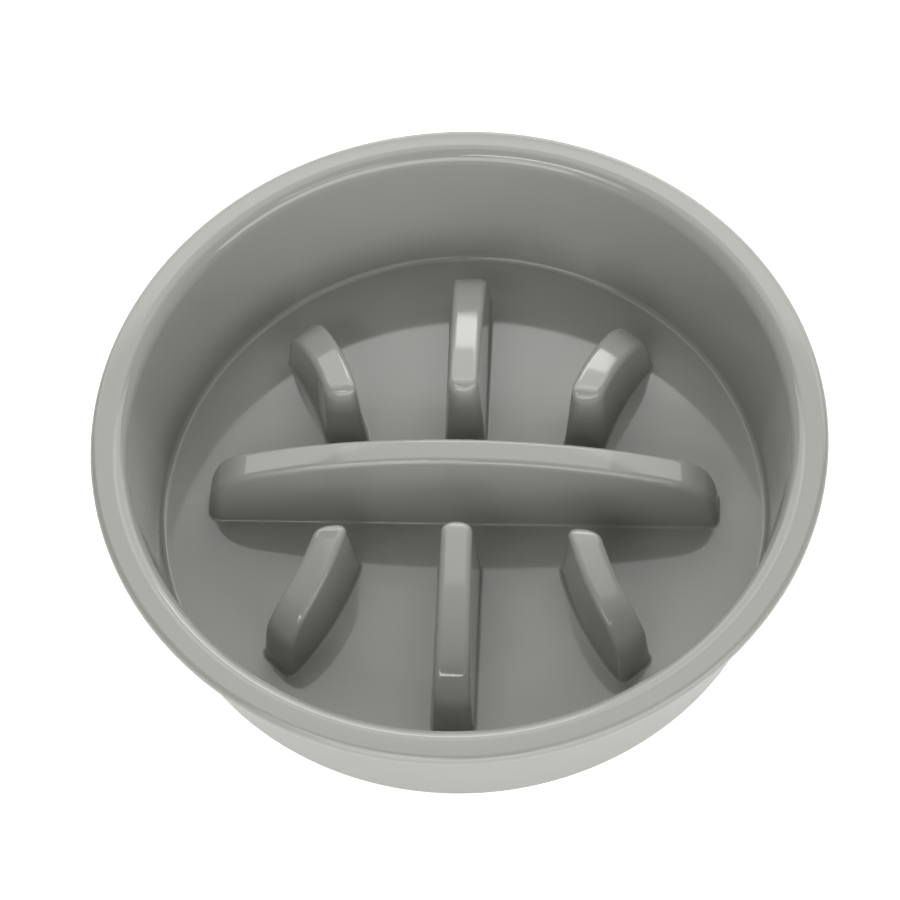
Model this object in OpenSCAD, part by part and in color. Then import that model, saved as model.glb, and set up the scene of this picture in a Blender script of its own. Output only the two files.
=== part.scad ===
// Slow feeder bowl: a round food bowl whose floor carries raised ridges that an animal has to eat around.
// One moulding, hollow under its ridges, stands on four rubber pads seated in its foot ring.
// Origin: centre of the rest plane. +Z up. The long ridge runs along X. Millimetres.

/* [Bowl] */
// Outside diameter over the rim
rim_d = 200; // [194:1:212]
// Inside diameter of the wall, carried up to the top of the rim
mouth_d = 180.6; // [178:0.2:186]
// Inside diameter where the wall meets the food floor
floor_d = 171.6; // [166:0.2:177]
// Depth from the top of the rim to the food floor
inside_depth = 44.4; // [40:0.2:60]
// Thickness of the side wall
wall_t = 2.6; // [2:0.1:3.6]
// Thickness of the floor plate
floor_t = 2.6; // [2:0.1:4]
// Thickness of the rim flange
rim_t = 3.6; // [3.4:0.1:5]
// Radius that rolls the rim over into the mouth
mouth_round = 4.8; // [1:0.1:5.5]
// Radius on the top outer edge of the rim
rim_round = 1.8; // [0.4:0.1:2]
// Radius on the lower outer edge of the rim
lip_round = 1.5; // [0.2:0.1:1.7]
// Fillet between the wall and the underside of the rim
collar_fillet = 1.4; // [0.4:0.1:2]
// Fillet between the wall and the food floor
floor_fillet = 1.6; // [0.6:0.1:3]
// Radius at the heel of the wall
heel_round = 3; // [1:0.1:4]

/* [Ridges] */
// Width of a ridge at the food floor
ridge_w = 11.6; // [11:0.1:15]
// Height of the ridges at the centre of the bowl
ridge_h = 31; // [26:0.5:35]
// Radius of the dome that their tops lie on
crown_r = 185; // [150:1:400]
// Distance from the centre of the bowl to the outer ends
spread_r = 72; // [66:0.5:76]
// Clear width between the inner ends of the short ridges, across the long one
channel_w = 38; // [30:0.5:46]
// Where the arc of the side ridges crosses the line of the long ridge
seam_x = 31.4; // [26:0.2:36]
// Radius of that arc, seen from above
seam_r = 82; // [70:1:120]
// Draft of the ridge sides, in degrees
ridge_draft = 3.2; // [1:0.1:4.5]
// Radius along the top edges of a ridge
edge_round = 2; // [0.6:0.1:2.4]
// Radius of the shoulder at an outer end
shoulder_round = 12; // [6:0.5:14]
// Radius of the shoulder at an inner end
inner_round = 6; // [3:0.5:8]
// Radius of the upright corners of a ridge at the food floor
corner_round = 2.2; // [1:0.1:5]
// Radius of the same corners at the top of the sides
top_corner_round = 4; // [2:0.1:5]
// Thickness of the skin over the hollow under a ridge
ridge_skin = 2.4; // [1.6:0.1:3]

/* [Foot] */
// Width of the foot ring under the heel
foot_w = 14; // [13:0.5:17]
// Height of the foot ring below the floor plate
foot_h = 1.2; // [0.6:0.1:2.5]
// Radius on the inner edge of the foot ring
foot_round = 0.5; // [0.1:0.1:0.5]
// Diameter of a rubber pad
pad_d = 10; // [6:0.5:10]
// How far a pad stands below the foot ring
pad_stand = 1.2; // [0.6:0.1:2]
// Depth of the pocket that a pad is seated in
pad_pocket = 1.2; // [0.6:0.1:2]
// Radius on the lower edge of a pad
pad_round = 0.5; // [0.1:0.1:0.5]
// Gap between a pad and the side of its pocket
pad_gap = 0.15; // [0.05:0.05:0.3]

/* [Hidden] */
$fn = 180;

plastic = [0.60, 0.61, 0.57];
rubber = [0.20, 0.20, 0.20];

// Heights above the rest plane
foot_z = pad_stand;
plate_z = foot_z + foot_h;
floor_z = plate_z + floor_t;
rim_z = floor_z + inside_depth;

// Wall radii: the inside leans outwards by one angle from the floor to the rim
lean = atan((mouth_d - floor_d) / 2 / inside_depth);
function wall_in(z) = floor_d / 2 + (z - floor_z) * tan(lean);
function wall_out(z) = wall_in(z) + wall_t / cos(lean);
heel_r = wall_out(foot_z);
foot_in_r = heel_r - foot_w;

// Pads sit midway across the flat of the foot ring, on the diagonals between the ridges
pad_r = (foot_in_r + foot_round + heel_r - heel_round) / 2;
pad_count = 4;
function pad_angle(i) = (i + 0.5) * 360 / pad_count;

// Kinds of ridge
LONG = 0;
CROSS = 1;
SEAM = 2;
seam_cx = seam_x + seam_r;

// ---------- outlines with rounded corners ----------

function unit(v) = v / norm(v);
function turn(a, p, b) = cross(p - a, b - p);
function half_angle(a, p, b) = acos(unit(a - p) * unit(b - p)) / 2;
function before(points, i) = points[(i + len(points) - 1) % len(points)];
function after(points, i) = points[(i + 1) % len(points)];
function tangent_point(p, towards, half, r) = p + r / tan(half) * unit(towards - p);
function tangent_pair(a, p, b, r) =
    let (half = half_angle(a, p, b))
    r > 0 ? [tangent_point(p, a, half, r), tangent_point(p, b, half, r)] : [p];

// The sliver between a corner's chord and its arc
module corner_arc(a, p, b, r) {
    half = half_angle(a, p, b);
    ends = tangent_pair(a, p, b, r);
    centre = p + r / sin(half) * unit(unit(a - p) + unit(b - p));
    intersection() {
        polygon([ends[0], p, ends[1]]);
        translate(centre) circle(r);
    }
}

// Anticlockwise outline; corners are [x, y, radius], with 0 for a sharp one
module rounded_outline(corners) {
    points = [for (c = corners) [c[0], c[1]]];
    outline = [
        for (i = [0 : len(corners) - 1])
            each tangent_pair(before(points, i), points[i], after(points, i), corners[i][2])
    ];
    difference() {
        union() {
            polygon(outline);
            for (i = [0 : len(corners) - 1])
                if (corners[i][2] > 0 && turn(before(points, i), points[i], after(points, i)) > 0)
                    corner_arc(before(points, i), points[i], after(points, i), corners[i][2]);
        }
        for (i = [0 : len(corners) - 1])
            if (corners[i][2] > 0 && turn(before(points, i), points[i], after(points, i)) < 0)
                corner_arc(before(points, i), points[i], after(points, i), corners[i][2]);
    }
}

// ---------- ridges ----------

// A side edge of a ridge in plan, as a fraction t of the way from its inner to its outer end.
// side is -1 or 1, lateral insets the side and trim insets both ends.
function side_point(kind, side, lateral, trim, t) =
    let (half = side * (ridge_w / 2 - lateral), reach = spread_r - trim)
    kind == LONG ? [(2 * t - 1) * sqrt(reach ^ 2 - half ^ 2), half] :
    kind == CROSS ? [-half, mix(channel_w / 2 + trim, sqrt(reach ^ 2 - half ^ 2), t)] :
    let (
        r = seam_r + half,
        start = asin((channel_w / 2 + trim) / r),
        end = acos((seam_cx ^ 2 + r ^ 2 - reach ^ 2) / (2 * seam_cx * r)),
        a = mix(start, end, t)
    )
    [seam_cx - r * cos(a), r * sin(a)];
function mix(a, b, t) = a + (b - a) * t;

function ridge_length(kind) =
    let (a = side_point(kind, 0, 0, 0, 0), b = side_point(kind, 0, 0, 0, 1))
    norm(b - a);

// How far a rounded shoulder has dropped at distance d in from the end that it rounds
function shoulder_drop(d, r) = d >= r ? 0 : r - sqrt(r ^ 2 - (r - max(d, 0)) ^ 2);

// Height of a ridge's top above the food floor at plan point p
function top_height(kind, p) =
    ridge_h - (crown_r - sqrt(crown_r ^ 2 - norm(p) ^ 2))
    - shoulder_drop(spread_r - norm(p), shoulder_round)
    - (kind == LONG ? 0 : shoulder_drop(abs(p[1]) - channel_w / 2, inner_round));

corner_least = 0.4;

// Stations along a ridge: [0 for inner or 1 for outer end, distance from it, corner angle].
// Those with an angle lie on the upright corner, and follow its radius instead of a distance.
corner_angles = [90, 68, 45, 22];
corner_reach = max(corner_round, top_corner_round);
function shoulder_stations(end, r) = [
    for (a = [60, 40, 20, 0])
        let (d = r * (1 - sin(a)))
        if (d > 1.2 * corner_reach) [end, d, 0]
];
function reversed(list) = [for (i = [len(list) - 1 : -1 : 0]) list[i]];
function end_stations(end, r) =
    concat([for (a = corner_angles) [end, 0, a]], [[end, corner_reach, 0]], shoulder_stations(end, r));
function stations(kind) =
    let (
        first_r = kind == LONG ? shoulder_round : inner_round,
        span = ridge_length(kind) - first_r - shoulder_round,
        steps = round(span / 8)
    )
    concat(
        end_stations(0, first_r),
        [for (i = [1 : steps - 1]) [0, first_r + span * i / steps, 0]],
        reversed(end_stations(1, shoulder_round))
    );

// Plan point of a station on one side, inset all round by e. The upright corners have radius corner_r
// there, within what the width that is left holds.
function plan_point(kind, side, s, e, corner_r) =
    let (
        r = min(max(corner_r, corner_least), 0.9 * (ridge_w / 2 - e)),
        lateral = e + r * (1 - cos(s[2])),
        d = s[2] > 0 ? r * (1 - sin(s[2])) : s[1],
        t = d / ridge_length(kind)
    )
    side_point(kind, side, lateral, e, s[0] == 0 ? t : 1 - t);

// Layers of a ridge, from the root up: [layer kind, angle on the top edge's rounding]
ROOT = 0;
EDGE = 1;
edge_angles = [0, 30, 60, 90];

// One point of the ridge's surface. skin insets it all round, for the hollow beneath.
function ridge_point(kind, side, s, skin, root, layer, angle) =
    let (
        side_top = top_height(kind, plan_point(kind, side, s, 0, top_corner_round)) - edge_round,
        round_r = skin > 0 ? 0 : edge_round,
        rolled_in = round_r * (1 - cos(angle)),
        p = layer == ROOT
            ? plan_point(kind, side, s, skin - root * tan(ridge_draft), corner_round - skin)
            : plan_point(
                kind, side, s,
                skin + side_top * tan(ridge_draft) + rolled_in,
                top_corner_round - skin - rolled_in
            )
    )
    [p[0], p[1], layer == ROOT ? -root : top_height(kind, p) - skin - round_r * (1 - sin(angle))];

function ridge_ring(kind, skin, root, layer, angle) =
    let (list = stations(kind))
    concat(
        [for (s = list) ridge_point(kind, -1, s, skin, root, layer, angle)],
        [for (s = reversed(list)) ridge_point(kind, 1, s, skin, root, layer, angle)]
    );

// Triangles between two rings of n points, and across one ring that pairs its two sides
function band(n, low, high) = [
    for (i = [0 : n - 1])
        let (j = (i + 1) % n)
        each [[low + i, high + j, low + j], [low + i, high + i, high + j]]
];
function ladder(n, ring, upward) = [
    for (i = [0 : n / 2 - 2])
        let (a = ring + i, b = ring + i + 1, c = ring + n - 2 - i, d = ring + n - 1 - i)
        each upward ? [[a, c, b], [a, d, c]] : [[a, b, c], [a, c, d]]
];

// A ridge standing on z = 0 and rooted below it, or with a skin the hollow under one
module ridge_form(kind, skin, root) {
    angles = skin > 0 ? [90] : edge_angles;
    rings = concat(
        [ridge_ring(kind, skin, root, ROOT, 0)],
        [for (a = angles) ridge_ring(kind, skin, root, EDGE, a)]
    );
    n = len(rings[0]);
    top = len(rings) - 1;
    polyhedron(
        points = [for (ring = rings) each ring],
        faces = concat(
            [for (k = [0 : top - 1]) each band(n, k * n, (k + 1) * n)],
            ladder(n, 0, false),
            ladder(n, top * n, true)
        )
    );
}

// The long ridge, the cross ridge on each side of it, and the four arcs that mirror each other
module ridge_pattern(skin, root) {
    ridge_form(LONG, skin, root);
    for (far = [0, 1])
        mirror([0, far, 0]) {
            ridge_form(CROSS, skin, root);
            for (left = [0, 1])
                mirror([left, 0, 0]) ridge_form(SEAM, skin, root);
        }
}

// ---------- pieces ----------

module bowl_section() {
    rounded_outline([
        [0, plate_z, 0],
        [foot_in_r, plate_z, 0],
        [foot_in_r, foot_z, foot_round],
        [heel_r, foot_z, heel_round],
        [wall_out(rim_z - rim_t), rim_z - rim_t, collar_fillet],
        [rim_d / 2, rim_z - rim_t, lip_round],
        [rim_d / 2, rim_z, rim_round],
        [mouth_d / 2, rim_z, mouth_round],
        [floor_d / 2, floor_z, floor_fillet],
        [0, floor_z, 0]
    ]);
}

module bowl() {
    root = floor_t / 2;
    below_plate = floor_t + 1;
    color(plastic)
        difference() {
            union() {
                rotate_extrude() bowl_section();
                translate([0, 0, floor_z]) ridge_pattern(0, root);
            }
            translate([0, 0, floor_z]) ridge_pattern(ridge_skin, below_plate);
            for (i = [0 : pad_count - 1])
                rotate(pad_angle(i))
                    translate([pad_r, 0, foot_z - 1])
                        cylinder(h = pad_pocket + 1, d = pad_d + 2 * pad_gap);
        }
}

module foot_pad(i) {
    color(rubber)
        rotate(pad_angle(i))
            translate([pad_r, 0, 0])
                rotate_extrude()
                    rounded_outline([
                        [0, 0, 0],
                        [pad_d / 2, 0, pad_round],
                        [pad_d / 2, pad_stand + pad_pocket, 0],
                        [0, pad_stand + pad_pocket, 0]
                    ]);
}

bowl();
foot_pad(0);  // foot_pad_1
foot_pad(1);  // foot_pad_2
foot_pad(2);  // foot_pad_3
foot_pad(3);  // foot_pad_4
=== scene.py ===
"""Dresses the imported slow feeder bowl: a glossy grey moulding with raised ridges, on rubber pads."""

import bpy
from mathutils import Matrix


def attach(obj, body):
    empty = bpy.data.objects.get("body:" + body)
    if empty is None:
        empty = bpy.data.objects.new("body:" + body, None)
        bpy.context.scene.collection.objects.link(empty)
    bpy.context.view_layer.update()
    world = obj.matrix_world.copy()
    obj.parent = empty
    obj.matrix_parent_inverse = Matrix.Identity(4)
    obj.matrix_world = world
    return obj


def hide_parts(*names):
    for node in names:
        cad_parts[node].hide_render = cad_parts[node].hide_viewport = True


bl_info = {
    "name": "Slow Feeder Bowl",
    "version": (1, 0, 0),
    "blender": (4, 5, 0),
    "location": "3D View > Sidebar > Feeder Bowl",
    "description": "Builds a round slow feeder bowl with moulded ridges and anti-slip pads",
    "category": "Object",
}

import math
from typing import NamedTuple

import bmesh
import bpy
from bpy.props import FloatProperty, FloatVectorProperty, IntProperty, PointerProperty
from mathutils import Matrix, Vector

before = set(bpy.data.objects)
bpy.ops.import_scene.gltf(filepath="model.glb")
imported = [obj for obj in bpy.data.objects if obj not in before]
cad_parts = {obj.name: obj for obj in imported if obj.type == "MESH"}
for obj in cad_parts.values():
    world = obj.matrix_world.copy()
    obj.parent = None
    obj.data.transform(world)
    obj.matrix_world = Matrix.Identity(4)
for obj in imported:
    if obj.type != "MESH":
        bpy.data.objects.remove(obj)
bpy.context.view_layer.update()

MM = 0.001
QUARTER_TURN = math.radians(90)
BODY = "root"
BOWL_NODE = "bowl"
PAD_NODES = sorted(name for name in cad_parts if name.startswith("foot_pad_"))

# Kinds of ridge
LONG, CROSS, SEAM = range(3)


# ---------- sizes and finishes ----------


def length(name, description, millimetres):
    """A length property whose default is given in millimetres."""
    return FloatProperty(
        name=name, description=description, default=millimetres * MM, min=0, unit="LENGTH", precision=4
    )


def angle(name, description, degrees):
    """An angle property whose default is given in degrees."""
    return FloatProperty(name=name, description=description, default=math.radians(degrees), unit="ROTATION")


def amount(name, description, value, high=10.0):
    """A plain number property."""
    return FloatProperty(name=name, description=description, default=value, min=0, max=high, precision=3)


def colour(name, description, value):
    """A colour property, in linear light."""
    return FloatVectorProperty(
        name=name, description=description, default=value, min=0, max=1, size=3, subtype="COLOR"
    )


class BowlShape(bpy.types.PropertyGroup):
    """Sizes of the bowl's wall, rim and foot."""

    rim_diameter: length("Rim Diameter", "Outside diameter over the rim", 200)
    mouth_diameter: length("Mouth Diameter", "Inside diameter of the wall at the rim", 180.6)
    floor_diameter: length("Floor Diameter", "Inside diameter of the wall at the food floor", 171.6)
    inside_depth: length("Inside Depth", "Depth from the rim to the food floor", 44.4)
    wall: length("Wall", "Thickness of the side wall", 2.6)
    floor: length("Floor", "Thickness of the floor plate", 2.6)
    rim: length("Rim", "Thickness of the rim flange", 3.6)
    mouth_round: length("Mouth Rounding", "Radius that rolls the rim into the mouth", 4.8)
    rim_round: length("Rim Rounding", "Radius on the top outer edge of the rim", 1.8)
    lip_round: length("Lip Rounding", "Radius on the lower outer edge of the rim", 1.5)
    collar_fillet: length("Collar Fillet", "Fillet under the rim", 1.4)
    floor_fillet: length("Floor Fillet", "Fillet between wall and food floor", 1.6)
    heel_round: length("Heel Rounding", "Radius at the heel of the wall", 3)
    foot_width: length("Foot Width", "Width of the foot ring", 14)
    foot_height: length("Foot Height", "Height of the foot ring", 1.2)
    foot_round: length("Foot Rounding", "Radius on the inner edge of the foot ring", 0.5)


class RidgeShape(bpy.types.PropertyGroup):
    """Sizes of the ridges on the food floor."""

    width: length("Width", "Width of a ridge at the food floor", 11.6)
    height: length("Height", "Height of the ridges at the centre", 31)
    crown: length("Crown Radius", "Radius of the dome that their tops lie on", 185)
    spread: length("Spread", "Distance from the centre to the outer ends", 72)
    channel: length("Channel", "Clear width between the inner ends of the short ridges", 38)
    seam_x: length("Curve Offset", "Where the curved ridges' arc crosses the long ridge's line", 31.4)
    seam_radius: length("Curve Radius", "Radius of that arc, seen from above", 82)
    draft: angle("Draft", "Draft of the ridge sides", 3.2)
    edge_round: length("Edge Rounding", "Radius along the top edges", 2)
    shoulder_round: length("Outer Shoulder", "Radius of the shoulder at an outer end", 12)
    inner_round: length("Inner Shoulder", "Radius of the shoulder at an inner end", 6)
    corner_round: length("Corner Rounding", "Radius of the upright corners at the food floor", 2.2)
    top_corner_round: length("Top Corner Rounding", "Radius of the same corners at the top of the sides", 4)
    root_fillet: length("Root Fillet", "Fillet between a ridge and the food floor", 0.8)
    skin: length("Skin", "Thickness of the skin over a ridge's hollow", 2.4)


class PadShape(bpy.types.PropertyGroup):
    """Sizes of the anti-slip pads and their pockets."""

    diameter: length("Diameter", "Diameter of a rubber pad", 10)
    stand: length("Stand", "How far a pad stands below the foot ring", 1.2)
    pocket: length("Pocket", "Depth of the pocket that a pad is seated in", 1.2)
    gap: length("Gap", "Gap between a pad and the side of its pocket", 0.15)
    count: IntProperty(name="Count", description="Number of pads", default=len(PAD_NODES), min=3)


class Finish(bpy.types.PropertyGroup):
    """Colours and surface of the materials."""

    plastic: colour("Plastic", "Colour of the moulded plastic", (0.245, 0.249, 0.226))
    plastic_roughness: amount("Plastic Roughness", "Roughness of the polished plastic", 0.07, high=1)
    plastic_mottle: amount("Plastic Mottle", "How far the plastic's tone varies", 0.05, high=1)
    ripple: amount("Ripple", "Height of the moulding's ripple, in millimetres", 0.02, high=1)
    dust: colour("Dust", "Colour of dust specks", (0.12, 0.115, 0.105))
    rubber: colour("Rubber", "Colour of the pads", (0.035, 0.035, 0.036))


class StageSetup(bpy.types.PropertyGroup):
    """Camera and light."""

    lens: FloatProperty(name="Lens", description="Focal length", default=113.8, unit="CAMERA")
    aim_height: length("Aim Height", "Height of the point that the camera is set out from", 48)
    distance: length("Distance", "From the camera to that point", 771.3)
    azimuth: angle("Azimuth", "Direction of the camera, counted from the front", 5.63)
    elevation: angle("Elevation", "Angle of the camera above the level", 58.39)
    yaw: angle("Yaw", "Turn of the camera to the left", 0.16)
    pitch: angle("Pitch", "Tilt of the camera upwards", -0.47)
    roll: angle("Roll", "Roll of the camera", 3.97)
    horizon_light: amount("Horizon Light", "Brightness of the room near the horizon", 2.3)
    zenith_light: amount("Zenith Light", "Brightness of the room overhead", 0.1)
    side_light: amount("Side Light", "Brightness of the room's sides, as a share of its ends", 0.25)
    floor_radius: length("Floor Radius", "Radius of the floor around the bowl", 1200)
    floor_glow: amount("Floor Glow", "Light that the floor gives the bowl", 0.3)
    floor_glow_seen: amount("Floor Glow Seen", "The same as the camera sees it, for a white floor", 0.5)


# ---------- outlines ----------


def span(steps):
    """Fractions from 0 to 1 in that many steps."""
    return [i / steps for i in range(steps + 1)]


def mix(a, b, t):
    """The value a fraction t of the way from a to b."""
    return a + (b - a) * t


def rounded_outline(corners, turn=math.radians(9)):
    """Points along a line of (r, z, radius) corners, each rounded by an arc in steps of about that turn."""
    points = [Vector(corners[0][:2])]
    for (ar, az, _), (pr, pz, radius), (br, bz, _) in zip(corners, corners[1:], corners[2:]):
        corner = Vector((pr, pz))
        to_a = (Vector((ar, az)) - corner).normalized()
        to_b = (Vector((br, bz)) - corner).normalized()
        if radius == 0:
            points.append(corner)
            continue
        half = to_a.angle(to_b) / 2
        centre = corner + (to_a + to_b).normalized() * (radius / math.sin(half))
        start = corner + to_a * (radius / math.tan(half)) - centre
        end = corner + to_b * (radius / math.tan(half)) - centre
        sweep = start.angle(end)
        for t in span(max(2, round(sweep / turn))):
            blend = (start * math.sin((1 - t) * sweep) + end * math.sin(t * sweep)) / math.sin(sweep)
            points.append(centre + blend)
    points.append(Vector(corners[-1][:2]))
    return points


# ---------- ridges ----------


class RidgeForm:
    """One kind of ridge, or with a skin the hollow beneath it, as rings of points."""

    EDGE_STEPS = 8
    FILLET_STEPS = 4
    SHOULDER_STEPS = 9
    CORNER_STEPS = 6
    # Least radius of an upright corner, and the share of the half width that it may take
    CORNER_LEAST = 0.4 * MM
    CORNER_SHARE = 0.9
    # Shoulder stations keep clear of the upright corners by this factor
    CORNER_CLEARANCE = 1.1
    # Distance between the stations along the middle of a ridge
    PITCH = 3 * MM

    def __init__(self, kind, ridge, skin=0.0):
        self.kind = kind
        self.ridge = ridge
        self.skin = skin
        inner, outer = (self.side_point(0, 0, 0, t) for t in (0, 1))
        self.length = (outer - inner).length
        self.stations = self.make_stations()

    def side_point(self, side, lateral, trim, t):
        """Plan point a fraction t of the way from the inner to the outer end, on a side or the middle line.

        The side is -1, 1 or 0 for the middle. It is drawn in by lateral, and the ends by trim.
        """
        ridge = self.ridge
        half = side * (ridge.width / 2 - lateral)
        reach = ridge.spread - trim
        inner = ridge.channel / 2 + trim
        if self.kind == LONG:
            return Vector(((2 * t - 1) * math.sqrt(reach**2 - half**2), half))
        if self.kind == CROSS:
            return Vector((-half, mix(inner, math.sqrt(reach**2 - half**2), t)))
        centre = ridge.seam_x + ridge.seam_radius
        radius = ridge.seam_radius + half
        start = math.asin(inner / radius)
        end = math.acos((centre**2 + radius**2 - reach**2) / (2 * centre * radius))
        turn = mix(start, end, t)
        return Vector((centre - radius * math.cos(turn), radius * math.sin(turn)))

    @staticmethod
    def shoulder_drop(distance, radius):
        """How far a rounded shoulder has dropped at that distance from its end."""
        into = radius - min(max(distance, 0), radius)
        return radius - math.sqrt(radius**2 - into**2)

    def top_height(self, point):
        """Height of the ridge's top above the food floor at a plan point."""
        ridge = self.ridge
        rho = point.length
        dome = ridge.height - ridge.crown + math.sqrt(ridge.crown**2 - rho**2)
        height = dome - self.shoulder_drop(ridge.spread - rho, ridge.shoulder_round)
        if self.kind != LONG:
            height -= self.shoulder_drop(abs(point.y) - ridge.channel / 2, ridge.inner_round)
        return height

    def make_stations(self):
        """(end, distance from it, corner angle) from the inner end to the outer one."""
        ridge = self.ridge
        first = ridge.shoulder_round if self.kind == LONG else ridge.inner_round
        past_corner = max(ridge.corner_round, ridge.top_corner_round)

        def end_stations(end, radius):
            corners = [(end, 0, QUARTER_TURN * (1 - t)) for t in span(self.CORNER_STEPS)[:-1]]
            turns = [QUARTER_TURN * (1 - t) for t in span(self.SHOULDER_STEPS)]
            drops = [radius * (1 - math.sin(a)) for a in turns]
            return [
                *corners,
                (end, past_corner, 0),
                *((end, d, 0) for d in drops if d > past_corner * self.CORNER_CLEARANCE),
            ]

        middle = self.length - first - ridge.shoulder_round
        steps = round(middle / self.PITCH)
        return [
            *end_stations(0, first),
            *((0, first + middle * t, 0) for t in span(steps)[1:-1]),
            *reversed(end_stations(1, ridge.shoulder_round)),
        ]

    def plan_point(self, side, station, inset, corner_radius):
        """Plan point of a station on one side, inset all round, with that radius on the upright corners."""
        end, distance, corner = station
        most = self.CORNER_SHARE * (self.ridge.width / 2 - inset)
        radius = min(max(corner_radius, self.CORNER_LEAST), most)
        lateral = inset + radius * (1 - math.cos(corner))
        if corner > 0:
            distance = radius * (1 - math.sin(corner))
        t = distance / self.length
        return self.side_point(side, lateral, inset, t if end == 0 else 1 - t)

    def ring(self, point_at):
        """A closed ring, up one side and back down the other."""
        return [
            *(point_at(-1, s) for s in self.stations),
            *(point_at(1, s) for s in reversed(self.stations)),
        ]

    def level_ring(self, inset, z, corner_radius):
        """A level ring at height z above the food floor."""

        def point_at(side, station):
            p = self.plan_point(side, station, inset, corner_radius)
            return Vector((p.x, p.y, z))

        return self.ring(point_at)

    def edge_ring(self, rounding, turn):
        """A ring along the rounding of the top edge, from 0 at the side to a quarter turn on top."""
        ridge = self.ridge

        def point_at(side, station):
            edge = self.plan_point(side, station, 0, ridge.top_corner_round)
            rolled_in = rounding * (1 - math.cos(turn))
            side_top = self.top_height(edge) - ridge.edge_round
            inset = self.skin + side_top * math.tan(ridge.draft) + rolled_in
            p = self.plan_point(side, station, inset, ridge.top_corner_round - self.skin - rolled_in)
            return Vector((p.x, p.y, self.top_height(p) - self.skin - rounding * (1 - math.sin(turn))))

        return self.ring(point_at)

    def outer_rings(self):
        """From the food floor, up the root fillet and the side, over the top edge."""
        fillet, slope = self.ridge.root_fillet, math.tan(self.ridge.draft)
        rings = []
        for t in span(self.FILLET_STEPS):
            turn = QUARTER_TURN * t
            z = fillet * (1 - math.cos(turn))
            flare = fillet * (1 - math.sin(turn))
            rings.append(self.level_ring(z * slope - flare, z, self.ridge.corner_round + flare))
        for t in span(self.EDGE_STEPS):
            rings.append(self.edge_ring(self.ridge.edge_round, QUARTER_TURN * t))
        return rings

    def hollow_rings(self, depth):
        """From the underside of the floor plate, at that depth, up to the roof of the hollow."""
        root = self.skin - depth * math.tan(self.ridge.draft)
        corner_radius = self.ridge.corner_round - self.skin
        return [self.level_ring(root, -depth, corner_radius), self.edge_ring(0, QUARTER_TURN)]


# Kind of each ridge, and the sides of the middle that it lies on: 1 is right or far, -1 left or near
RIDGE_PLACES = [
    (LONG, 1, 1),
    *((CROSS, 1, far) for far in (1, -1)),
    *((SEAM, right, far) for right in (1, -1) for far in (1, -1)),
]


# ---------- meshes ----------


class Skin:
    """Builds a mesh out of rings, bands, ladders and flat fills."""

    # Steps round a circle of the wall, of a pad's pocket and of the stage's floor
    WALL_STEPS = 240
    POCKET_STEPS = 48
    FLOOR_STEPS = 96

    def __init__(self):
        self.bm = bmesh.new()

    def add_ring(self, points):
        return [self.bm.verts.new(p) for p in points]

    def band(self, low, high):
        """Joins two rings by a band of faces."""
        for a, b, c, d in zip(low, low[1:] + low[:1], high[1:] + high[:1], high):
            self.bm.faces.new((a, b, c, d))

    def bands(self, rings):
        for low, high in zip(rings, rings[1:]):
            self.band(low, high)

    def ladder(self, ring):
        """Closes a ring by rungs between its two sides."""
        half = len(ring) // 2
        left, right = ring[:half], ring[half:][::-1]
        for a, b, c, d in zip(left, left[1:], right[1:], right):
            self.bm.faces.new((a, b, c, d))

    def fill(self, rings, up):
        """Fills the level region between the rings with triangles that face up or down."""
        edges = []
        for ring in rings:
            for a, b in zip(ring, ring[1:] + ring[:1]):
                edges.append(self.bm.edges.get((a, b)) or self.bm.edges.new((a, b)))
        bmesh.ops.triangle_fill(
            self.bm, edges=edges, use_beauty=True, use_dissolve=False, normal=(0, 0, 1 if up else -1)
        )

    def circle(self, radius, z, steps, centre=(0, 0)):
        turns = [2 * math.pi * i / steps for i in range(steps)]
        return self.add_ring(
            Vector((centre[0] + radius * math.cos(a), centre[1] + radius * math.sin(a), z)) for a in turns
        )

    def finish(self, name, sharp):
        """Makes the object: smooth, with edges sharper than that angle kept sharp, and even normals."""
        bmesh.ops.recalc_face_normals(self.bm, faces=self.bm.faces)
        for face in self.bm.faces:
            face.smooth = True
        for edge in self.bm.edges:
            sides = len(edge.link_faces)
            if sides != 2:
                raise RuntimeError(f"{name}: an edge has {sides} faces, so the skin isn't closed")
            edge.smooth = edge.calc_face_angle() < sharp
        mesh = bpy.data.meshes.new(name)
        self.bm.to_mesh(mesh)
        self.bm.free()
        piece = bpy.data.objects.new(name, mesh)
        bpy.context.scene.collection.objects.link(piece)
        piece.modifiers.new("Even Normals", "WEIGHTED_NORMAL").keep_sharp = True
        return piece


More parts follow.
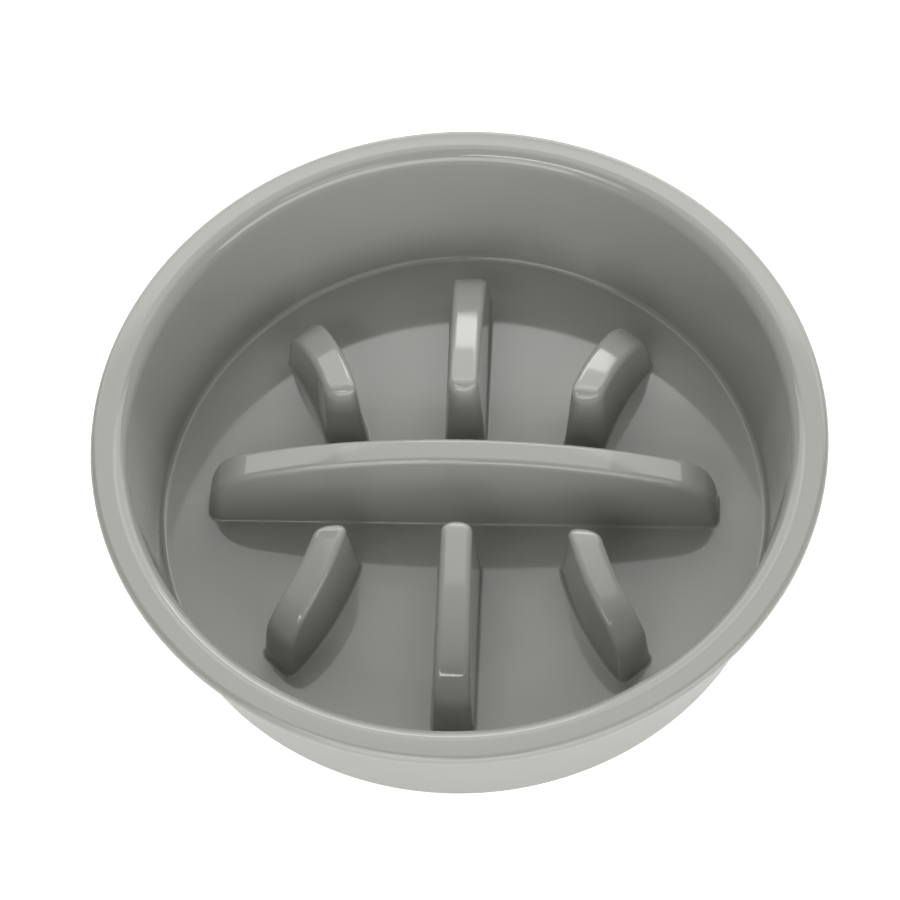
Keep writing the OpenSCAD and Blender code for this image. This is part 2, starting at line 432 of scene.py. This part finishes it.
def wall_sections(bowl, pads):
    """The revolved lines, the food floor's height and the radius that the pads lie at.

    The first line goes from the food floor over the rim to the foot ring, the second up its inner edge.
    """
    foot_z = pads.stand
    plate_z = foot_z + bowl.foot_height
    floor_z = plate_z + bowl.floor
    rim_z = floor_z + bowl.inside_depth
    lean = math.atan((bowl.mouth_diameter - bowl.floor_diameter) / 2 / bowl.inside_depth)

    def wall_out(z):
        return bowl.floor_diameter / 2 + (z - floor_z) * math.tan(lean) + bowl.wall / math.cos(lean)

    heel_r = wall_out(foot_z)
    foot_in_r = heel_r - bowl.foot_width
    flat_out_r = heel_r - bowl.heel_round
    under_rim = rim_z - bowl.rim
    outer = rounded_outline(
        [
            (bowl.floor_diameter / 2 - 2 * bowl.floor_fillet, floor_z, 0),
            (bowl.floor_diameter / 2, floor_z, bowl.floor_fillet),
            (bowl.mouth_diameter / 2, rim_z, bowl.mouth_round),
            (bowl.rim_diameter / 2, rim_z, bowl.rim_round),
            (bowl.rim_diameter / 2, under_rim, bowl.lip_round),
            (wall_out(under_rim), under_rim, bowl.collar_fillet),
            (heel_r, foot_z, bowl.heel_round),
            (flat_out_r, foot_z, 0),
        ]
    )
    inner = rounded_outline(
        [
            (foot_in_r + 2 * bowl.foot_round, foot_z, 0),
            (foot_in_r, foot_z, bowl.foot_round),
            (foot_in_r, plate_z, 0),
        ]
    )
    pad_r = (foot_in_r + bowl.foot_round + flat_out_r) / 2
    return outer, inner, floor_z, pad_r


def moulding_skin(bowl, ridge, pads):
    """The bowl in one closed skin, with its ridges, their hollows and the pad pockets."""
    outer, inner, floor_z, pad_r = wall_sections(bowl, pads)
    skin = Skin()
    wall = [skin.circle(p.x, p.y, Skin.WALL_STEPS) for p in outer]
    foot = [skin.circle(p.x, p.y, Skin.WALL_STEPS) for p in inner]
    skin.bands(wall)
    skin.bands(foot)

    on_floor, in_plate = [wall[0]], [foot[-1]]
    for kind, right, far in RIDGE_PLACES:
        place = Matrix.Translation((0, 0, floor_z)) @ Matrix.Diagonal((right, far, 1, 1))
        outside = [
            skin.add_ring(place @ p for p in ring) for ring in RidgeForm(kind, ridge).outer_rings()
        ]
        hollow = [
            skin.add_ring(place @ p for p in ring)
            for ring in RidgeForm(kind, ridge, ridge.skin).hollow_rings(bowl.floor)
        ]
        for rings in (outside, hollow):
            skin.bands(rings)
            skin.ladder(rings[-1])
        on_floor.append(outside[0])
        in_plate.append(hollow[0])

    under_foot = [wall[-1], foot[0]]
    for i in range(pads.count):
        turn = 2 * math.pi * (i + 0.5) / pads.count
        centre = (pad_r * math.cos(turn), pad_r * math.sin(turn))
        radius = pads.diameter / 2 + pads.gap
        rings = [
            skin.circle(radius, pads.stand + depth, Skin.POCKET_STEPS, centre)
            for depth in (0, pads.pocket)
        ]
        skin.bands(rings)
        skin.fill(rings[1:], up=False)
        under_foot.append(rings[0])

    skin.fill(on_floor, up=True)
    skin.fill(in_plate, up=False)
    skin.fill(under_foot, up=False)
    return skin


# ---------- materials ----------

# Most values of a noise texture lie between these
NOISE_LOW, NOISE_HIGH = 0.3, 0.7
# Numbers of the sockets that a Mix node uses for colours
MIX_FACTOR, MIX_A, MIX_B, MIX_RESULT = 0, 6, 7, 2
# How far the plastic's roughness strays from its mean, as shares of it
GLOSS_SPREAD = (0.8, 1.25)
RUBBER_ROUGHNESS = (0.62, 0.8)
INDEX_OF_REFRACTION = 1.5


class Nodes:
    """Adds nodes to a tree, with their inputs given by name as values or as sockets to link."""

    def __init__(self, tree):
        self.tree = tree

    def add(self, kind, label, inputs=None, **settings):
        node = self.tree.nodes.new(kind)
        node.label = label
        for name, value in settings.items():
            setattr(node, name, value)
        for name, value in (inputs or {}).items():
            socket = node.inputs[name]
            if isinstance(value, bpy.types.NodeSocket):
                self.tree.links.new(value, socket)
            else:
                socket.default_value = value
        return node

    def math(self, label, operation, first, second=0.0):
        node = self.add("ShaderNodeMath", label, {0: first, 1: second}, operation=operation)
        return node.outputs[0]

    def remap(self, label, value, low, high, to_low, to_high):
        inputs = {"Value": value, "From Min": low, "From Max": high, "To Min": to_low, "To Max": to_high}
        return self.add("ShaderNodeMapRange", label, inputs).outputs["Result"]


def new_group(name, inputs, outputs):
    """A shader node group with float inputs and outputs, ready for its nodes."""
    tree = bpy.data.node_groups.new(name, "ShaderNodeTree")
    for label, default in inputs.items():
        socket = tree.interface.new_socket(label, in_out="INPUT", socket_type="NodeSocketFloat")
        socket.default_value = default
    for label in outputs:
        tree.interface.new_socket(label, in_out="OUTPUT", socket_type="NodeSocketFloat")
    nodes = Nodes(tree)
    return nodes, nodes.add("NodeGroupInput", "Inputs"), nodes.add("NodeGroupOutput", "Outputs")


def surface_grain_group():
    """Slow tone changes, and a height made of a soft ripple and a fine grain."""
    found = bpy.data.node_groups.get("Surface Grain")
    if found:
        return found
    nodes, start, end = new_group(
        "Surface Grain",
        {
            "Mottle Scale": 30,
            "Mottle": 0.05,
            "Ripple Scale": 60,
            "Ripple": 0.02 * MM,
            "Grain Scale": 2000,
            "Grain": 0.002 * MM,
        },
        ["Tone", "Wear", "Height"],
    )
    place = nodes.add("ShaderNodeTexCoord", "Place").outputs["Object"]
    mottle = nodes.add(
        "ShaderNodeTexNoise", "Mottle", {"Vector": place, "Scale": start.outputs["Mottle Scale"], "Detail": 4}
    )
    centred = nodes.math("Centred", "SUBTRACT", mottle.outputs["Fac"], 0.5)
    spread = nodes.math("Spread", "MULTIPLY", centred, start.outputs["Mottle"])
    tone = nodes.math("Tone", "ADD", spread, 1.0)
    ripple = nodes.add(
        "ShaderNodeTexNoise", "Ripple", {"Vector": place, "Scale": start.outputs["Ripple Scale"], "Detail": 1}
    )
    grain = nodes.add(
        "ShaderNodeTexNoise", "Grain", {"Vector": place, "Scale": start.outputs["Grain Scale"], "Detail": 3}
    )
    waves = nodes.math("Waves", "MULTIPLY", ripple.outputs["Fac"], start.outputs["Ripple"])
    pores = nodes.math("Pores", "MULTIPLY", grain.outputs["Fac"], start.outputs["Grain"])
    nodes.tree.links.new(tone, end.inputs["Tone"])
    nodes.tree.links.new(mottle.outputs["Fac"], end.inputs["Wear"])
    nodes.tree.links.new(nodes.math("Height", "ADD", waves, pores), end.inputs["Height"])
    return nodes.tree


def dust_group():
    """A mask of sparse specks."""
    found = bpy.data.node_groups.get("Dust Specks")
    if found:
        return found
    nodes, start, end = new_group("Dust Specks", {"Scale": 90, "Size": 0.05, "Share": 0.2}, ["Mask"])
    place = nodes.add("ShaderNodeTexCoord", "Place").outputs["Object"]
    cells = nodes.add("ShaderNodeTexVoronoi", "Cells", {"Vector": place, "Scale": start.outputs["Scale"]})
    speck = nodes.math("Speck", "LESS_THAN", cells.outputs["Distance"], start.outputs["Size"])
    pick = nodes.add("ShaderNodeSeparateColor", "Pick", {"Color": cells.outputs["Color"]}).outputs["Red"]
    chosen = nodes.math("Chosen", "LESS_THAN", pick, start.outputs["Share"])
    nodes.tree.links.new(nodes.math("Mask", "MULTIPLY", speck, chosen), end.inputs["Mask"])
    return nodes.tree


def new_material(name):
    material = bpy.data.materials.new(name)
    material.use_nodes = True
    material.node_tree.nodes.clear()
    return material, Nodes(material.node_tree)


def toned_colour(nodes, base, tone, dust, dust_mask):
    """The base colour times its tone, with dust over it."""
    toned = nodes.add("ShaderNodeVectorMath", "Toned", {0: base, "Scale": tone}, operation="SCALE")
    sockets = {MIX_FACTOR: dust_mask, MIX_A: toned.outputs["Vector"], MIX_B: (*dust, 1)}
    return nodes.add("ShaderNodeMix", "With Dust", sockets, data_type="RGBA").outputs[MIX_RESULT]


def dusty_surface(nodes, base, dust_colour, grain_inputs, dust_inputs):
    """Adds the grain and the dust, and gives the grain node, the dust mask and the colour under both."""
    grain = nodes.add("ShaderNodeGroup", "Grain", grain_inputs, node_tree=surface_grain_group())
    dust = nodes.add("ShaderNodeGroup", "Dust", dust_inputs, node_tree=dust_group())
    mask = dust.outputs["Mask"]
    return grain, mask, toned_colour(nodes, base, grain.outputs["Tone"], dust_colour, mask)


def add_shader(nodes, label, base, roughness, height):
    """The Principled shader and the output, with a bump of that height in metres."""
    bump = nodes.add("ShaderNodeBump", "Surface", {"Height": height, "Distance": 1.0})
    sockets = {
        "Base Color": base,
        "Roughness": roughness,
        "Normal": bump.outputs["Normal"],
        "IOR": INDEX_OF_REFRACTION,
    }
    shader = nodes.add("ShaderNodeBsdfPrincipled", label, sockets)
    nodes.add("ShaderNodeOutputMaterial", "Output", {"Surface": shader.outputs["BSDF"]})


def plastic_material(finish):
    """Polished moulded plastic, a little uneven in tone, gloss and surface."""
    material, nodes = new_material("grey_plastic")
    grain, dust, base = dusty_surface(
        nodes,
        finish.plastic,
        finish.dust,
        {
            "Mottle Scale": 26,
            "Mottle": finish.plastic_mottle,
            "Ripple Scale": 55,
            "Ripple": finish.ripple * MM,
            "Grain Scale": 1800,
            "Grain": 0.0004 * MM,
        },
        {"Scale": 70, "Size": 0.035, "Share": 0.12},
    )
    low, high = (finish.plastic_roughness * share for share in GLOSS_SPREAD)
    wear = nodes.remap("Gloss", grain.outputs["Wear"], NOISE_LOW, NOISE_HIGH, low, high)
    roughness = nodes.math("With Dust", "ADD", wear, dust)
    add_shader(nodes, "Plastic", base, roughness, grain.outputs["Height"])
    return material


def rubber_material(finish):
    """Soft matt rubber with a fine grain."""
    material, nodes = new_material("pad_rubber")
    grain, _, base = dusty_surface(
        nodes,
        finish.rubber,
        finish.dust,
        {
            "Mottle Scale": 400,
            "Mottle": 0.3,
            "Ripple Scale": 900,
            "Ripple": 0.01 * MM,
            "Grain Scale": 5000,
            "Grain": 0.02 * MM,
        },
        {"Scale": 900, "Size": 0.2, "Share": 0.15},
    )
    roughness = nodes.remap("Matt", grain.outputs["Wear"], NOISE_LOW, NOISE_HIGH, *RUBBER_ROUGHNESS)
    add_shader(nodes, "Rubber", base, roughness, grain.outputs["Height"])
    return material


# ---------- stage ----------

WHITE = (1, 1, 1, 1)
# From each lamp to the target, in metres
LAMP_DISTANCE = 1.4


class Lamp(NamedTuple):
    """A rectangular lamp that faces the bowl, with its place and size as angles from there, in degrees."""

    name: str
    azimuth: float  # from the front, positive to the right
    elevation: float
    across: float
    upwards: float
    radiance: float


LAMPS = (
    Lamp("Back Bank", azimuth=180, elevation=34, across=92, upwards=44, radiance=2.6),
    Lamp("Back Panel", azimuth=180, elevation=53, across=48, upwards=6, radiance=1.4),
    Lamp("Back Header", azimuth=180, elevation=62, across=48, upwards=12, radiance=1.9),
    Lamp("Window", azimuth=175, elevation=29, across=30, upwards=9, radiance=4.6),
    Lamp("Top Panel", azimuth=180, elevation=78, across=56, upwards=20, radiance=1.5),
    Lamp("Front Bank", azimuth=20, elevation=23, across=100, upwards=24, radiance=3.9),
    Lamp("Front Panel", azimuth=-30, elevation=42, across=34, upwards=24, radiance=2.2),
    Lamp("Front Strip Left", azimuth=-24, elevation=48, across=30, upwards=4, radiance=9.0),
    Lamp("Front Strip Right", azimuth=40, elevation=48, across=26, upwards=4, radiance=6.0),
)

# The room's glow fades with height and towards the sides, each between two parts of a unit vector
HORIZON_BAND = (0.1, 0.3)
SIDE_BAND = (0.4, 0.9)

# Radius of the floor's inner disc, as a share of the whole floor's radius
FLOOR_INNER_SHARE = 5 / 12
PAPER_SCALE = 220
PAPER_TONE = (0.79, 0.81)


def direction(azimuth, elevation):
    """Unit vector towards that azimuth, 0 at the front and positive to the right, and elevation."""
    flat = math.cos(elevation)
    return Vector((math.sin(azimuth) * flat, -math.cos(azimuth) * flat, math.sin(elevation)))


def add_camera(stage, target):
    """The camera, set out from the target and then turned a little off it."""
    back = direction(stage.azimuth, stage.elevation)
    right = Vector((math.cos(stage.azimuth), math.sin(stage.azimuth), 0))
    forward = -back
    up = right.cross(forward)
    for turn, axis in ((stage.yaw, up), (stage.pitch, right), (stage.roll, forward)):
        spin = Matrix.Rotation(turn, 3, axis)
        right, up, forward = spin @ right, spin @ up, spin @ forward
    camera = bpy.data.objects.new("Camera", bpy.data.cameras.new("Camera"))
    camera.data.lens = stage.lens
    camera.data.clip_start = 0.05
    camera.data.clip_end = 50
    turned = Matrix((right, up, -forward)).transposed().to_4x4()
    camera.matrix_world = Matrix.Translation(target + back * stage.distance) @ turned
    bpy.context.scene.collection.objects.link(camera)
    bpy.context.scene.camera = camera


def add_lamp(lamp, target):
    data = bpy.data.lights.new(lamp.name, "AREA")
    data.shape = "RECTANGLE"
    data.size = 2 * LAMP_DISTANCE * math.tan(math.radians(lamp.across) / 2)
    data.size_y = 2 * LAMP_DISTANCE * math.tan(math.radians(lamp.upwards) / 2)
    data.energy = lamp.radiance * math.pi * data.size * data.size_y
    placed = bpy.data.objects.new(lamp.name, data)
    out = direction(math.radians(lamp.azimuth), math.radians(lamp.elevation))
    facing = out.to_track_quat("Z", "Y").to_matrix().to_4x4()
    placed.matrix_world = Matrix.Translation(target + out * LAMP_DISTANCE) @ facing
    bpy.context.scene.collection.objects.link(placed)


def light_room(stage):
    """A pale room, brighter near the horizon than overhead, that the camera sees as white."""
    world = bpy.data.worlds.new("Room")
    world.use_nodes = True
    world.node_tree.nodes.clear()
    nodes = Nodes(world.node_tree)
    way = nodes.add("ShaderNodeTexCoord", "Direction").outputs["Generated"]
    parts = nodes.add("ShaderNodeSeparateXYZ", "Parts", {"Vector": way}).outputs
    height = nodes.remap("By Height", parts["Z"], *HORIZON_BAND, stage.horizon_light, stage.zenith_light)
    side = nodes.math("To The Side", "ABSOLUTE", parts["X"])
    share = nodes.remap("By Side", side, *SIDE_BAND, 1.0, stage.side_light)
    glow = nodes.math("Glow", "MULTIPLY", height, share)
    seen = nodes.add("ShaderNodeLightPath", "Seen").outputs["Is Camera Ray"]
    light = nodes.add("ShaderNodeBackground", "Light", {"Color": WHITE, "Strength": glow})
    white = nodes.add("ShaderNodeBackground", "White", {"Color": WHITE, "Strength": 1.0})
    both = nodes.add("ShaderNodeMixShader", "Room", {0: seen, 1: light.outputs[0], 2: white.outputs[0]})
    nodes.add("ShaderNodeOutputWorld", "Output", {"Surface": both.outputs[0]})
    bpy.context.scene.world = world


def add_floor(stage):
    """A wide pale floor that keeps the bowl's soft shadow."""
    skin = Skin()
    radii = (stage.floor_radius, stage.floor_radius * FLOOR_INNER_SHARE)
    rings = [skin.circle(radius, 0, Skin.FLOOR_STEPS) for radius in radii]
    skin.bands(rings)
    skin.fill(rings[-1:], up=True)
    mesh = bpy.data.meshes.new("Floor")
    skin.bm.to_mesh(mesh)
    skin.bm.free()
    floor = bpy.data.objects.new("Floor", mesh)
    bpy.context.scene.collection.objects.link(floor)
    material, nodes = new_material("pale_floor")
    place = nodes.add("ShaderNodeTexCoord", "Place").outputs["Object"]
    weave = nodes.add("ShaderNodeTexNoise", "Paper", {"Vector": place, "Scale": PAPER_SCALE, "Detail": 3})
    tone = nodes.remap("Paper Tone", weave.outputs["Fac"], NOISE_LOW, NOISE_HIGH, *PAPER_TONE)
    base = nodes.add("ShaderNodeCombineColor", "Paper Colour", {"Red": tone, "Green": tone, "Blue": tone})
    seen = nodes.add("ShaderNodeLightPath", "Seen").outputs["Is Camera Ray"]
    glow = nodes.remap("Glow", seen, 0.0, 1.0, stage.floor_glow, stage.floor_glow_seen)
    shader = nodes.add(
        "ShaderNodeBsdfPrincipled",
        "Paper",
        {
            "Base Color": base.outputs["Color"],
            "Roughness": 0.9,
            "Specular IOR Level": 0.0,
            "Emission Color": WHITE,
            "Emission Strength": glow,
        },
    )
    nodes.add("ShaderNodeOutputMaterial", "Output", {"Surface": shader.outputs["BSDF"]})
    mesh.materials.append(material)


# ---------- operators ----------

SHARP_EDGE = math.radians(40)


class FEEDER_OT_moulding(bpy.types.Operator):
    """Build the bowl's moulding in place of the CAD one"""

    bl_idname = "feeder.moulding"
    bl_label = "Build Moulding"

    def execute(self, context):
        scene = context.scene
        skin = moulding_skin(scene.feeder_bowl, scene.feeder_ridges, scene.feeder_pads)
        piece = skin.finish("bowl_moulding", SHARP_EDGE)
        piece.data.materials.append(plastic_material(scene.feeder_finish))
        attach(piece, BODY)
        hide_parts(BOWL_NODE)
        return {"FINISHED"}


class FEEDER_OT_pads(bpy.types.Operator):
    """Give the CAD pads their rubber"""

    bl_idname = "feeder.pads"
    bl_label = "Dress Pads"

    def execute(self, context):
        rubber = rubber_material(context.scene.feeder_finish)
        for name in PAD_NODES:
            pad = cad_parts[name]
            pad.data.materials.clear()
            pad.data.materials.append(rubber)
        return {"FINISHED"}


class FEEDER_OT_stage(bpy.types.Operator):
    """Set up the floor, the light and the camera"""

    bl_idname = "feeder.stage"
    bl_label = "Set Stage"

    def execute(self, context):
        stage = context.scene.feeder_stage
        target = Vector((0, 0, stage.aim_height))
        add_camera(stage, target)
        light_room(stage)
        for lamp in LAMPS:
            add_lamp(lamp, target)
        add_floor(stage)
        context.scene.view_settings.view_transform = "Standard"
        return {"FINISHED"}


class FEEDER_PT_panel(bpy.types.Panel):
    """Lists the bowl's sizes and steps"""

    bl_idname = "FEEDER_PT_panel"
    bl_label = "Feeder Bowl"
    bl_space_type = "VIEW_3D"
    bl_region_type = "UI"
    bl_category = "Feeder Bowl"

    def draw(self, context):
        for group_name, (kind, label) in GROUPS.items():
            box = self.layout.box()
            box.label(text=label)
            group = getattr(context.scene, group_name)
            for prop in kind.__annotations__:
                box.prop(group, prop)
        for step in STEPS:
            self.layout.operator(step.bl_idname)


GROUPS = {
    "feeder_bowl": (BowlShape, "Bowl"),
    "feeder_ridges": (RidgeShape, "Ridges"),
    "feeder_pads": (PadShape, "Pads"),
    "feeder_finish": (Finish, "Finish"),
    "feeder_stage": (StageSetup, "Stage"),
}
STEPS = (FEEDER_OT_moulding, FEEDER_OT_pads, FEEDER_OT_stage)


def register():
    for kind, _ in GROUPS.values():
        bpy.utils.register_class(kind)
    for name, (kind, _) in GROUPS.items():
        setattr(bpy.types.Scene, name, PointerProperty(type=kind))
    for step in STEPS:
        bpy.utils.register_class(step)
    bpy.utils.register_class(FEEDER_PT_panel)


def unregister():
    bpy.utils.unregister_class(FEEDER_PT_panel)
    for step in reversed(STEPS):
        bpy.utils.unregister_class(step)
    for name, (kind, _) in reversed(GROUPS.items()):
        delattr(bpy.types.Scene, name)
        bpy.utils.unregister_class(kind)


def main():
    register()
    bpy.ops.feeder.moulding()
    bpy.ops.feeder.pads()
    bpy.ops.feeder.stage()


if __name__ == "__main__":
    main()
